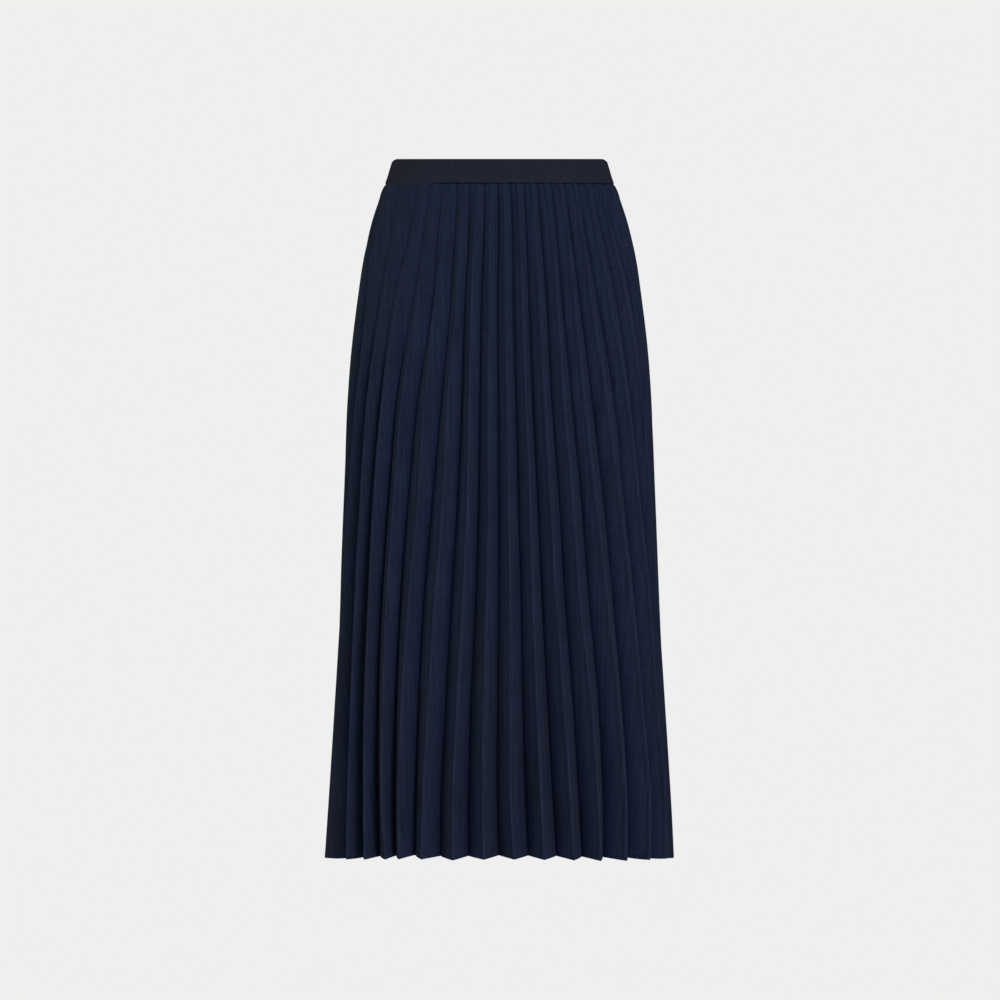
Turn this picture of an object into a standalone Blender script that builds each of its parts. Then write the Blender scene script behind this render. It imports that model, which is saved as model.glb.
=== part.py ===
"""Pleated midi skirt, filled out and empty: an elastic waistband over a front and a back pleated panel.

Metres, +Z up. The skirt faces -Y, and its origin is the middle of the waistband ring.
Angles are measured round the skirt from the centre front, growing towards +X.
"""
import math
from collections import namedtuple

import bpy
import numpy as np

# Whole garment
BAND_HEIGHT = 0.030
BAND_THICKNESS = 0.0026
BAND_EDGE_RADIUS = 0.0011
BAND_TOP_SINK = 0.0010      # how far the top edge sinks under the tension of the elastic
BAND_FRONT_SINK = 0.0009    # and how much further at the centre front
HEM_DROP = 0.8020           # lowest point of the hem below the origin
SEAM_GAP = 0.0003           # between pieces that are sewn together
CLOTH = 0.0010              # wall of the pleated cloth

# Pleats
FRONT_PLEATS = 17
BACK_PLEATS = 19
FACE_BOW = 0.07             # swell of a face between its creases, as a share of the depth
HEM_LIFT = 0.0048           # how much higher the valleys end than the ridges
HEM_BAND = 0.030            # height of the last ring of faces above the hem
BACK_RISE = 0.006           # how much higher the hem rides at the centre back
SIDE_RISE = 0.0014          # and at the two sides
LIFT_FADES = (36.0, 72.0)   # degrees from centre front or back between which the valleys' lift fades out
BACK_WANDER = 1.1           # degrees that the back folds stray from an even spacing

BAND_SEGMENTS = 84
RING_SAMPLES = 720          # steps that measure the way round a section

# The outer form through the ridges: half width, half depth to the front and to the back, and how full the
# oval is towards its corners, where 2 is an ellipse
Section = namedtuple("Section", "drop half_width front_depth back_depth fullness")
SECTIONS = (
    Section(-0.0150, 0.1256, 0.0845, 0.0830, 2.00),    # top edge of the waistband
    Section(-0.0050, 0.1277, 0.0860, 0.0845, 2.00),
    Section(0.0050, 0.1302, 0.0878, 0.0862, 2.00),
    Section(0.0150, 0.1337, 0.0906, 0.0892, 2.00),     # waist seam
    Section(0.0340, 0.1406, 0.0960, 0.0980, 2.02),
    Section(0.0570, 0.1485, 0.1005, 0.1060, 2.05),
    Section(0.0900, 0.1567, 0.1050, 0.1145, 2.10),
    Section(0.1500, 0.1657, 0.1105, 0.1225, 2.20),     # hip
    Section(0.2100, 0.1728, 0.1140, 0.1285, 2.27),
    Section(0.2670, 0.1771, 0.1165, 0.1320, 2.33),
    Section(0.3840, 0.1814, 0.1205, 0.1375, 2.42),     # thigh
    Section(0.5000, 0.1862, 0.1245, 0.1430, 2.50),
    Section(0.6170, 0.1926, 0.1290, 0.1485, 2.50),     # knee
    Section(0.7330, 0.1995, 0.1340, 0.1545, 2.50),
    Section(0.8020, 0.2038, 0.1375, 0.1590, 2.50),     # hem
)

# Depth of the folds, ridge to valley
FoldDepth = namedtuple("FoldDepth", "drop depth")
FOLD_DEPTHS = (
    FoldDepth(0.0150, 0.0028),
    FoldDepth(0.0340, 0.0048),
    FoldDepth(0.0570, 0.0060),
    FoldDepth(0.1500, 0.0072),
    FoldDepth(0.2670, 0.0090),
    FoldDepth(0.5000, 0.0125),
    FoldDepth(0.6170, 0.0140),
    FoldDepth(0.8020, 0.0150),
)

# Heights of the rings of the pleated panels, as drops below the origin
PANEL_RINGS = (
    BAND_HEIGHT / 2 + SEAM_GAP, 0.0190, 0.0250, 0.0360, 0.0560, 0.0840, 0.1200, 0.1600,
    0.2100, 0.2700, 0.3400, 0.4200, 0.5100, 0.6100, 0.7000, HEM_DROP - HEM_BAND, HEM_DROP,
)

# Where each ridge of the front panel runs, in degrees from the centre front.
# The two seams lie in the valleys at the ends.
Fold = namedtuple("Fold", "waist yoke hip thigh lap knee calf shin hem")
FOLD_DROPS = Fold(0.0200, 0.0510, 0.1500, 0.2670, 0.3840, 0.5000, 0.6170, 0.7450, 0.8000)
LEFT_SEAM = Fold(-84.0, -81.0, -73.0, -76.5, -84.2, -92.0, -96.0, -97.0, -98.0)
FRONT_RIDGES = (
    Fold(-72.0, -70.0, -66.5, -70.8, -76.6, -81.5, -83.5, -85.0, -86.0),
    Fold(-54.0, -52.9, -55.7, -60.6, -63.4, -64.7, -64.6, -62.4, -60.9),
    Fold(-42.7, -41.3, -46.3, -50.4, -53.6, -54.9, -54.3, -51.9, -50.3),
    Fold(-34.2, -32.7, -35.3, -40.1, -43.0, -45.1, -45.0, -43.0, -40.7),
    Fold(-26.6, -25.1, -27.0, -29.6, -31.7, -34.7, -36.3, -36.0, -35.2),
    Fold(-19.3, -18.4, -17.7, -19.9, -21.1, -23.7, -25.4, -26.6, -26.5),
    Fold(-11.9, -11.3, -11.3, -11.5, -11.9, -13.2, -14.7, -15.8, -15.5),
    Fold(-4.3, -4.2, -4.4, -4.2, -4.1, -4.6, -5.4, -5.5, -5.1),
    Fold(2.3, 2.4, 2.4, 2.8, 3.4, 3.7, 3.7, 3.9, 4.8),
    Fold(9.1, 9.1, 9.3, 10.0, 11.4, 12.1, 13.1, 14.2, 14.8),
    Fold(16.4, 16.1, 16.4, 17.3, 19.3, 20.9, 23.0, 24.6, 25.1),
    Fold(24.1, 23.6, 24.1, 25.1, 28.2, 30.2, 33.8, 35.3, 35.3),
    Fold(32.5, 31.6, 32.0, 34.1, 38.6, 42.6, 46.2, 47.5, 46.5),
    Fold(41.6, 39.8, 40.5, 45.6, 51.3, 56.4, 59.7, 61.6, 59.1),
    Fold(51.8, 49.3, 51.1, 57.8, 64.3, 71.3, 73.2, 75.8, 72.8),
    Fold(62.5, 59.5, 63.8, 70.2, 76.4, 82.0, 86.5, 88.0, 84.0),
    Fold(75.0, 71.5, 77.0, 83.0, 88.4, 93.0, 97.0, 98.5, 96.0),
)
RIGHT_SEAM = Fold(84.5, 80.0, 84.0, 89.5, 94.4, 98.5, 102.0, 103.5, 103.0)

# How far each valley between two of those ridges strays from the middle of them, in degrees towards +X
VALLEY_STRAYS = (
    Fold(3.5, 4.1, 2.9, 1.4, -0.5, -1.6, -1.2, 1.9, 4.0),
    Fold(2.4, 3.4, 2.2, 2.0, -0.3, -1.3, -1.4, -1.0, -0.9),
    Fold(1.9, 1.2, 3.0, 1.2, 0.8, -0.3, -0.9, -1.2, -1.7),
    Fold(1.2, 0.1, 3.0, 1.1, -0.5, -0.6, -0.3, -0.4, -0.6),
    Fold(1.2, 1.1, 1.9, 1.8, -0.1, -0.2, 0.3, 0.6, 0.4),
    Fold(0.6, 0.8, 0.1, 1.0, 0.3, 0.3, 0.4, 0.4, 0.5),
    Fold(0.6, 0.6, 0.3, 0.2, -0.1, 0.0, -0.3, -0.2, -0.3),
    Fold(0.2, 0.3, 0.1, 0.0, -0.1, 0.0, 0.0, 0.0, -0.1),
    Fold(-0.4, -0.1, -0.4, -0.3, -0.5, -0.2, -0.3, -0.1, -0.2),
    Fold(-0.5, -0.6, -0.9, -1.0, -1.0, -0.9, -0.8, -0.5, -0.3),
    Fold(-1.0, -1.0, -0.7, -0.8, -0.7, -0.7, -1.2, -0.9, -0.6),
    Fold(-1.4, -1.2, -1.5, -0.6, -0.6, -1.0, -1.4, -2.1, -2.6),
    Fold(-2.2, -1.8, -1.1, -0.7, -0.7, -1.6, -2.3, -2.7, -2.3),
    Fold(-2.9, -2.5, -0.5, -0.3, -1.3, -1.7, -1.0, -1.0, -1.0),
    Fold(-2.9, -1.0, 0.1, -0.9, 0.6, 2.3, 0.7, 0.1, 0.6),
    Fold(-1.9, -1.8, 2.1, -0.4, -0.1, 1.0, 1.0, 0.0, 0.0),
)

CLOTH_COLOUR = (0.0082, 0.0137, 0.0287, 1.0)
BAND_COLOUR = (0.0160, 0.0178, 0.0300, 1.0)


def smooth_value(x, xs, ys):
    """The value at x of a smooth curve through the points (xs, ys), level past its two ends."""
    if x <= xs[0]:
        return ys[0]
    if x >= xs[-1]:
        return ys[-1]
    slopes = np.gradient(ys, xs)
    k = int(np.searchsorted(xs, x)) - 1
    step = xs[k + 1] - xs[k]
    u = (x - xs[k]) / step
    rise = (1 + 2 * u) * (1 - u) ** 2 * ys[k] + u * u * (3 - 2 * u) * ys[k + 1]
    return rise + step * u * (1 - u) * ((1 - u) * slopes[k] - u * slopes[k + 1])


def section_at(drop):
    """Half width, front depth, back depth and fullness of the outer form at a drop below the origin."""
    drops = [s.drop for s in SECTIONS]
    columns = [[s[c] for s in SECTIONS] for c in (1, 2, 3, 4)]
    return [smooth_value(drop, drops, column) for column in columns]


def on_form(angle, form, inset=0.0):
    """The point of a section at an angle in degrees, moved inwards by inset along its normal."""
    half_width, front, back, fullness = form
    t = math.radians(angle)
    depth = front if math.cos(t) > 0 else back
    across = math.sin(t)
    forwards = math.copysign((1 - min(1.0, abs(across)) ** fullness) ** (1 / fullness), math.cos(t))
    point = np.array([half_width * across, -depth * forwards])
    slant = math.copysign(abs(across) ** (fullness - 1) / half_width, across)
    facing = math.copysign(abs(forwards) ** (fullness - 1) / depth, forwards)
    normal = np.array([slant, -facing])
    return point - inset * normal / np.linalg.norm(normal)


def evenly_round(start, end, form, count):
    """Angles that part the way round a section from start to end into count equal lengths."""
    angles = np.linspace(start, end, RING_SAMPLES)
    points = np.array([on_form(a, form) for a in angles])
    lengths = np.linalg.norm(np.diff(points, axis=0), axis=1)
    travelled = np.concatenate([[0.0], np.cumsum(lengths)])
    return np.interp(np.linspace(0.0, travelled[-1], count + 1), travelled, angles)


def fold_angles(drop, form):
    """Angles of every crease in order round the skirt, from the left seam: valley, ridge, valley..."""
    def column(fold):
        return smooth_value(drop, FOLD_DROPS, fold)

    left, right = column(LEFT_SEAM), column(RIGHT_SEAM)
    ridges = [column(fold) for fold in FRONT_RIDGES]
    strays = [column(fold) for fold in VALLEY_STRAYS]
    inner_valleys = [(a + b) / 2 + stray for a, b, stray in zip(ridges, ridges[1:], strays)]
    front = [left]
    for ridge, valley in zip(ridges, inner_valleys + [right]):
        front += [ridge, valley]
    back = evenly_round(right, left + 360.0, form, 2 * BACK_PLEATS)
    stray = [BACK_WANDER * math.sin(1.9 * k) * math.sin(math.pi * k / len(back)) for k in range(len(back))]
    return np.array(front + [a + s for a, s in zip(back, stray)][1:-1])


def pleat_ring(drop):
    """Outer points, inner points and heights of one ring of the pleated wall, in order round the skirt."""
    form = section_at(drop)
    depth = smooth_value(drop, [f.drop for f in FOLD_DEPTHS], [f.depth for f in FOLD_DEPTHS])
    creases = []
    for k, angle in enumerate(fold_angles(drop, form)):
        in_valley = k % 2 == 0
        creases.append(on_form(angle, form, CLOTH * 0.7 + (depth if in_valley else 0.0)))

    middle, valley_shares = [], []
    for k, here in enumerate(creases):
        after = creases[(k + 1) % len(creases)]
        along = after - here
        outwards = np.array([along[1], -along[0]]) / np.linalg.norm(along)
        middle += [here, (here + after) / 2 + FACE_BOW * depth * outwards]
        valley_shares += [1.0 if k % 2 == 0 else 0.0, 0.5]
    middle = np.array(middle)
    side_shares = np.minimum(1.0, np.abs(middle[:, 0]) / form[0])
    back_shares = np.maximum(0.0, middle[:, 1]) / form[2]
    rise = (SIDE_RISE * side_shares ** 4 + BACK_RISE * back_shares) * (drop / HEM_DROP) ** 2
    if drop == HEM_DROP:
        start, end = LIFT_FADES
        fade = np.clip((np.degrees(np.arcsin(side_shares)) - start) / (end - start), 0.0, 1.0)
        rise += HEM_LIFT * np.array(valley_shares) * (1 - fade * fade * (3 - 2 * fade))
    heights = rise - drop
    return wall_points(middle, 1), wall_points(middle, -1), heights


def wall_points(middle, side):
    """The middle line of a ring moved out (side 1) or in (side -1) by half the cloth, mitred at corners."""
    ahead = np.roll(middle, -1, axis=0) - middle
    ahead /= np.linalg.norm(ahead, axis=1)[:, None]
    normal = np.stack([ahead[:, 1], -ahead[:, 0]], axis=1)
    both = normal + np.roll(normal, 1, axis=0)
    mitre = both / (np.linalg.norm(both, axis=1) ** 2)[:, None] * 2
    return middle + side * CLOTH / 2 * mitre


def seam_shift(ring, corner, towards):
    """Half of the seam gap at a seam's corner, along the way round the section."""
    before, after = ring[corner - 1], ring[(corner + 1) % len(ring)]
    along = (after - before) / np.linalg.norm(after - before)
    return towards * SEAM_GAP / 2 * along


def panel_mesh(rings, first, last):
    """A closed wall from corner first to corner last of every ring, with its two seam edges and its hem."""
    corners = list(range(first, last + 1))
    vertices = []
    for outer, inner, heights in rings:
        for side in (outer, inner):
            for corner in corners:
                index = corner % len(side)
                point = side[index].copy()
                if corner == first:
                    point += seam_shift(outer, index, 1)
                if corner == last:
                    point += seam_shift(outer, index, -1)
                vertices.append((point[0], point[1], heights[index]))

    width = len(corners)
    rows = len(rings)

    def at(row, side, column):
        return (row * 2 + side) * width + column

    faces = []
    for row in range(rows - 1):
        for k in range(width - 1):
            faces.append((at(row, 0, k), at(row + 1, 0, k), at(row + 1, 0, k + 1), at(row, 0, k + 1)))
            faces.append((at(row, 1, k), at(row, 1, k + 1), at(row + 1, 1, k + 1), at(row + 1, 1, k)))
        end = width - 1
        faces.append((at(row, 0, 0), at(row, 1, 0), at(row + 1, 1, 0), at(row + 1, 0, 0)))
        faces.append((at(row, 0, end), at(row + 1, 0, end), at(row + 1, 1, end), at(row, 1, end)))
    for k in range(width - 1):
        last_row = rows - 1
        faces.append((at(0, 0, k), at(0, 0, k + 1), at(0, 1, k + 1), at(0, 1, k)))
        faces.append((at(last_row, 0, k), at(last_row, 1, k), at(last_row, 1, k + 1), at(last_row, 0, k + 1)))
    return vertices, faces


def band_profile():
    """The waistband's cut through its wall, as (drop, depth behind the outer face), all round it."""
    half = BAND_HEIGHT / 2
    radius = BAND_EDGE_RADIUS
    thick = BAND_THICKNESS
    outer = [(half - radius, 0.0), (half / 2, 0.0), (-half / 4, 0.0), (radius - half, 0.0)]
    top = [(-half + radius * 0.3, radius * 0.3), (-half, radius), (-half, thick - radius),
           (-half + radius * 0.3, thick - radius * 0.3)]
    inner = [(drop, thick) for drop, _ in reversed(outer)]
    bottom = [(half - radius * 0.3, thick - radius * 0.3), (half, thick - radius), (half, radius),
              (half - radius * 0.3, radius * 0.3)]
    return outer + top + inner + bottom


def band_mesh():
    """The waistband: its profile carried once round the waist."""
    profile = band_profile()
    size = len(profile)
    vertices = []
    for step in range(BAND_SEGMENTS):
        angle = 360.0 * step / BAND_SEGMENTS
        sink = BAND_TOP_SINK + BAND_FRONT_SINK * max(0.0, math.cos(math.radians(angle)))
        for drop, depth in profile:
            x, y = on_form(angle, section_at(drop), depth)
            upper = max(0.0, -drop / (BAND_HEIGHT / 2))
            vertices.append((x, y, -drop - sink * upper))
    faces = []
    for step in range(BAND_SEGMENTS):
        here, beyond = step * size, (step + 1) % BAND_SEGMENTS * size
        for k in range(size):
            n = (k + 1) % size
            faces.append((here + k, beyond + k, beyond + n, here + n))
    return vertices, faces


def cloth_material(name, colour, roughness):
    material = bpy.data.materials.new(name)
    material.use_nodes = True
    shader = material.node_tree.nodes["Principled BSDF"]
    shader.inputs["Base Color"].default_value = colour
    shader.inputs["Roughness"].default_value = roughness
    shader.inputs["Metallic"].default_value = 0.0
    return material


def add_piece(name, vertices, faces, material, sharp_angle):
    mesh = bpy.data.meshes.new(name)
    mesh.from_pydata(vertices, [], faces)
    mesh.validate()
    mesh.shade_smooth()
    mesh.set_sharp_from_angle(angle=math.radians(sharp_angle))
    mesh.materials.append(material)
    piece = bpy.data.objects.new(name, mesh)
    bpy.context.scene.collection.objects.link(piece)
    return piece


def main():
    for leftover in list(bpy.data.objects):
        bpy.data.objects.remove(leftover, do_unlink=True)

    cloth = cloth_material("pleated_crepe", CLOTH_COLOUR, 0.8)
    elastic = cloth_material("waist_elastic", BAND_COLOUR, 0.85)

    rings = [pleat_ring(drop) for drop in PANEL_RINGS]
    front_end = 4 * FRONT_PLEATS
    back_end = front_end + 4 * BACK_PLEATS
    skirt = bpy.data.objects.new("skirt", None)
    bpy.context.scene.collection.objects.link(skirt)
    pieces = [
        add_piece("front_panel", *panel_mesh(rings, 0, front_end), cloth, 25),
        add_piece("back_panel", *panel_mesh(rings, front_end, back_end), cloth, 25),
        add_piece("waistband", *band_mesh(), elastic, 50),
    ]
    for piece in pieces:
        piece.parent = skirt


main()
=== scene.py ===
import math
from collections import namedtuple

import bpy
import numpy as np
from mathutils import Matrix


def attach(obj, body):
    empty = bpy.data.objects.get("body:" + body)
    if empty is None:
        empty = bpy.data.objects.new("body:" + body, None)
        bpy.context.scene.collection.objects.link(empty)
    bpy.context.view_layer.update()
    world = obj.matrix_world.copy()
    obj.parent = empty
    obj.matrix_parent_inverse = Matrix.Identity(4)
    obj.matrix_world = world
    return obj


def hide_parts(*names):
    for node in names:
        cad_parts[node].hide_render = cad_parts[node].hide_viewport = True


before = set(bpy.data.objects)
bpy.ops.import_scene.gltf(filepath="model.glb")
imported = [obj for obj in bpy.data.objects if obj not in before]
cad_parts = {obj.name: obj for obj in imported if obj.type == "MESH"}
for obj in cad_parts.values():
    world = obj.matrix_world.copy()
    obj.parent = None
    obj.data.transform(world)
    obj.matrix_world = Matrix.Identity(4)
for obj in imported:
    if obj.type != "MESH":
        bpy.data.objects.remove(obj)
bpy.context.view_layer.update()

# Pleated midi skirt, filled out and empty: crepe, elastic and sewing.
# Metres, +Z up. The skirt faces -Y, and its origin is the middle of the waistband ring.
# Angles run round the skirt from the centre front, growing towards +X.
# Drops run down from the origin.
# A crease is either a ridge or a valley, and a face is the cloth between two creases.

# Whole garment
BAND_HEIGHT = 0.030
BAND_THICKNESS = 0.0026
BAND_EDGE_RADIUS = 0.0011
BAND_WALL_POINTS = 14       # points of its outline up each side of its wall
BAND_EDGE_POINTS = 5        # and round each edge
BAND_TOP_SINK = 0.0010      # how far the top edge sinks under the tension of the elastic
BAND_FRONT_SINK = 0.0009    # and how much further at the centre front
BAND_CORNER = 0.0056        # reach over which its top edge turns down at the two sides
BAND_CORNER_DROP = 0.0033   # and how far down it turns
BAND_STITCH_ROWS = (0.0026, 0.0054, 0.0082)     # heights of its stitches above its lower edge
WAIST_TUCK = 0.0016         # how far the cloth dives under the band's lower edge
TUCK_REACH = 0.0020
WAIST_HOLD = 0.0020         # deepest that the top edge of the cloth lies inside the band
WAIST_PUFF = 0.0008         # how far it puffs out again below that
PUFF_DROP, PUFF_REACH = 0.0255, 0.0065
HEM_DROP = 0.8020           # lowest point of the hem below the origin
SEAM_GAP = 0.0003           # between the two panels
CLOTH_OUT = 0.0005          # cloth outside its middle surface
CLOTH_IN = 0.0001           # and inside it

# Pleats
FRONT_PLEATS = 17
BACK_PLEATS = 19
FACE_AT_WAIST = 0.0125      # width of one pleat face, crease to crease
FACE_AT_HEM = 0.0213
CREASE_INSET = 0.0007       # of the ridges behind the outer form
RIDGE_ROUND = 0.0008        # radius of a ridge
RIDGE_HIGHLIGHT_DROP = 0.25          # drop by which the painted highlight along the ridges is full
GROOVE_REACH = 0.0016       # half width of the groove in a valley
BEAD_REACH = 0.0009         # half width of the pressed bead on a ridge, and of the painted highlight along it
GLOW_REACH = 0.0060         # how far the painted highlight of a ridge reaches over its right face
GLOW_SHARE = 0.35           # and how strong it is beside the painted highlight of the bead
SHADE_LINE_PLACE = 0.0033         # how far from a ridge the thin line of painted shade lies, on its left face
SHADE_LINE_REACH = 0.0011
SHADE_AT_WAIST = 0.0014     # how far the painted shade of a valley reaches up its two faces
SHADE_AT_KNEE = 0.0048
SHADE_AT_HEM = 0.0085       # on the left faces
BACK_WANDER = 1.1           # degrees that the back folds stray from an even spacing
WANDER_STEP = 1.9           # radians from the stray of one back fold to the next one's
PLEAT_VARIETY = 0.09        # by how much the depth of a pleat differs from its neighbours'
VARIETY_WAVES = 13.0        # how often that comes and goes round the skirt
VARIETY_LEAN = 7.0          # how far those waves shift, in radians for each metre down
VARIETY_FADE = 9.0          # and how they swell and fade, in radians for each metre down
VARIETY_START = 0.6         # from this angle at the origin, in radians

# Hem
HEM_LIFT = 0.0048           # how much higher the valleys end than the ridges
HEM_SPREAD = 0.026          # height above the hem over which that lift fades out
LIFT_FADES = (36.0, 72.0)   # degrees from centre front or back between which it fades out too
HEM_TURN = 0.0095           # height of the turned hem
TURN_DROP = HEM_DROP - HEM_TURN
TURN_STEP = 0.0008          # half the height over which its second ply sets in
HEM_PLY = 0.0006            # what that ply adds
PLY_OUTSIDE = 0.15          # share of it that lies outside
HEM_EDGE = 0.0008           # height over which the wall closes round at the hem
HEM_BLUNT = 0.0001          # how far past the hem it would meet, which leaves the edge blunt
BACK_RISE = 0.006           # how much higher the hem rides at the centre back
SIDE_RISE = 0.0014          # and at the two sides

# How the cut across a pleat face changes downwards: the share of its depth that it keeps for a
# plunge beside the valley, how suddenly it plunges, the groove's own depth, and the height of the
# bead on the ridge
FaceShape = namedtuple("FaceShape", "drop plunge suddenness groove bead")
FACE_SHAPES = (
    FaceShape(0.0150, 0.30, 4.0, 0.0003, 0.00020),
    FaceShape(0.0400, 0.30, 5.0, 0.0006, 0.00035),
    FaceShape(0.1500, 0.28, 5.0, 0.0009, 0.00050),
    FaceShape(0.2670, 0.32, 4.0, 0.0012, 0.00055),
    FaceShape(0.3840, 0.35, 3.5, 0.0016, 0.00060),
    FaceShape(0.5000, 0.35, 3.0, 0.0020, 0.00060),
    FaceShape(0.8020, 0.35, 3.0, 0.0020, 0.00060),
)

# Where the pleats are pulled nearly smooth below the waist, and where they stand deeper above the
# hem: the middle of the place, how far it reaches each way, and the share of their depth that they
# lose there, negative where they gain it
Easing = namedtuple("Easing", "angle reach drop span share")
EASINGS = (
    Easing(-66.0, 42.0, 0.060, 0.170, 0.72),
    Easing(128.0, 30.0, 0.080, 0.105, 0.60),
    Easing(236.0, 28.0, 0.060, 0.120, 0.55),
    Easing(-68.0, 30.0, 0.690, 0.240, -0.20),
    Easing(28.0, 60.0, 0.780, 0.140, -0.28),
    Easing(-47.0, 19.0, 0.800, 0.150, -0.36),
    Easing(52.0, 27.0, 0.830, 0.090, -0.12),
)

# Small gathers that the elastic draws into the cloth just below it: where they start round the
# waist, how far they slant, where they run out, and their depth
Gather = namedtuple("Gather", "angle slant bottom depth")
GATHERS = (
    Gather(-61.0, -2.0, 0.038, 0.0004),
    Gather(-47.5, -3.0, 0.046, 0.0005),
    Gather(-36.3, -1.6, 0.036, 0.0006),
    Gather(-25.9, -0.6, 0.044, 0.0009),
    Gather(-18.6, -0.4, 0.050, 0.0008),
    Gather(-11.9, -0.3, 0.046, 0.0006),
    Gather(-4.5, -0.2, 0.036, 0.0008),
    Gather(8.0, 0.2, 0.082, 0.0010),
    Gather(15.1, 0.3, 0.066, 0.0014),
    Gather(22.5, 0.2, 0.062, 0.0011),
    Gather(30.1, 0.4, 0.040, 0.0007),
    Gather(38.9, 0.3, 0.048, 0.0009),
    Gather(47.8, -1.9, 0.084, 0.0013),
    Gather(57.7, -0.6, 0.056, 0.0012),
    Gather(70.3, 1.0, 0.042, 0.0008),
    Gather(99.0, 1.0, 0.044, 0.0008),
    Gather(116.5, -0.8, 0.061, 0.0010),
    Gather(131.0, 0.9, 0.042, 0.0007),
    Gather(147.5, 0.4, 0.072, 0.0012),
    Gather(158.0, -0.6, 0.050, 0.0009),
    Gather(173.0, 0.3, 0.064, 0.0013),
    Gather(188.5, -0.4, 0.045, 0.0008),
    Gather(203.0, 0.7, 0.058, 0.0011),
    Gather(217.5, -1.0, 0.076, 0.0010),
    Gather(232.0, -0.5, 0.042, 0.0006),
    Gather(249.0, 1.2, 0.052, 0.0009),
)
GATHER_REACH = 0.55         # half width of a gather in degrees
# Depth at which the painted shade of a gather is full
GATHER_DEEPEST = 0.0010

# The stretch of the waist seam where the band rolls down over the cloth, in degrees, and how far
ROLL_STARTS = (-90.0, -66.0)
ROLL_ENDS = (-37.5, -35.5)
ROLL_DROP = 0.0026
ROLL_OUT = 0.0006

# How the hem sways round the skirt: by how much it rises at some angles
Sway = namedtuple("Sway", "angle rise")
HEM_SWAYS = (
    Sway(-90.0, 0.0000),
    Sway(-60.0, -0.0004),
    Sway(-39.0, 0.0004),
    Sway(-30.0, 0.0010),
    Sway(-18.0, -0.0002),
    Sway(0.0, 0.0008),
    Sway(12.0, 0.0004),
    Sway(24.0, -0.0002),
    Sway(34.0, -0.0012),
    Sway(50.0, -0.0013),
    Sway(66.0, -0.0005),
    Sway(90.0, 0.0000),
    Sway(118.0, 0.0007),
    Sway(150.0, -0.0008),
    Sway(183.0, 0.0005),
    Sway(212.0, -0.0006),
    Sway(243.0, 0.0007),
    Sway(270.0, 0.0000),
)

# Soft troughs in the hang of the skirt: the angle at its top, how far it slants by its bottom, its
# half width in degrees, its top and bottom, and its depth
Trough = namedtuple("Trough", "angle slant half_width top bottom depth")
TROUGHS = (
    Trough(-31.0, -7.0, 6.5, 0.10, 0.62, 0.0022),
    Trough(-8.0, -3.0, 5.0, 0.22, 0.80, 0.0016),
    Trough(13.0, 9.0, 6.0, 0.14, 0.70, 0.0020),
    Trough(38.0, 14.0, 7.0, 0.09, 0.55, 0.0024),
    Trough(62.0, 10.0, 6.0, 0.30, 0.82, 0.0018),
    Trough(-58.0, -12.0, 7.0, 0.26, 0.85, 0.0020),
    Trough(118.0, 5.0, 8.0, 0.12, 0.66, 0.0024),
    Trough(146.0, -4.0, 6.0, 0.20, 0.84, 0.0018),
    Trough(171.0, 3.0, 7.0, 0.10, 0.58, 0.0022),
    Trough(199.0, 6.0, 6.0, 0.28, 0.83, 0.0017),
    Trough(226.0, 8.0, 7.5, 0.13, 0.64, 0.0023),
    Trough(247.0, 9.0, 6.0, 0.34, 0.85, 0.0018),
)

RING_SAMPLES = 720          # steps that measure the way round a section
BAND_SEGMENTS = 360         # steps round the waistband

# The outer form through the ridges: half width, half depth to the front and to the back, and how
# full the oval is towards its corners, where 2 is an ellipse
Section = namedtuple("Section", "drop half_width front_depth back_depth fullness")
SECTIONS = (
    Section(-0.0150, 0.1256, 0.0845, 0.0830, 2.00),    # top edge of the waistband
    Section(-0.0050, 0.1277, 0.0860, 0.0845, 2.00),
    Section(0.0050, 0.1302, 0.0878, 0.0862, 2.00),
    Section(0.0150, 0.1337, 0.0906, 0.0892, 2.00),     # waist seam
    Section(0.0340, 0.1406, 0.0960, 0.0980, 2.02),
    Section(0.0570, 0.1485, 0.1005, 0.1060, 2.05),
    Section(0.0900, 0.1567, 0.1050, 0.1145, 2.10),
    Section(0.1500, 0.1657, 0.1105, 0.1225, 2.20),     # hip
    Section(0.2100, 0.1728, 0.1140, 0.1285, 2.27),
    Section(0.2670, 0.1771, 0.1165, 0.1320, 2.33),
    Section(0.3840, 0.1814, 0.1205, 0.1375, 2.42),     # thigh
    Section(0.5000, 0.1862, 0.1245, 0.1430, 2.50),
    Section(0.6170, 0.1926, 0.1290, 0.1485, 2.50),     # knee
    Section(0.7330, 0.1995, 0.1340, 0.1545, 2.50),
    Section(0.8020, 0.2038, 0.1375, 0.1590, 2.50),     # hem
)

# Depth of the folds, ridge to valley
FoldDepth = namedtuple("FoldDepth", "drop depth")
FOLD_DEPTHS = (
    FoldDepth(0.0150, 0.0028),
    FoldDepth(0.0340, 0.0048),
    FoldDepth(0.0570, 0.0060),
    FoldDepth(0.1500, 0.0072),
    FoldDepth(0.2670, 0.0090),
    FoldDepth(0.5000, 0.0125),
    FoldDepth(0.6170, 0.0140),
    FoldDepth(0.8020, 0.0150),
)

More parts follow.
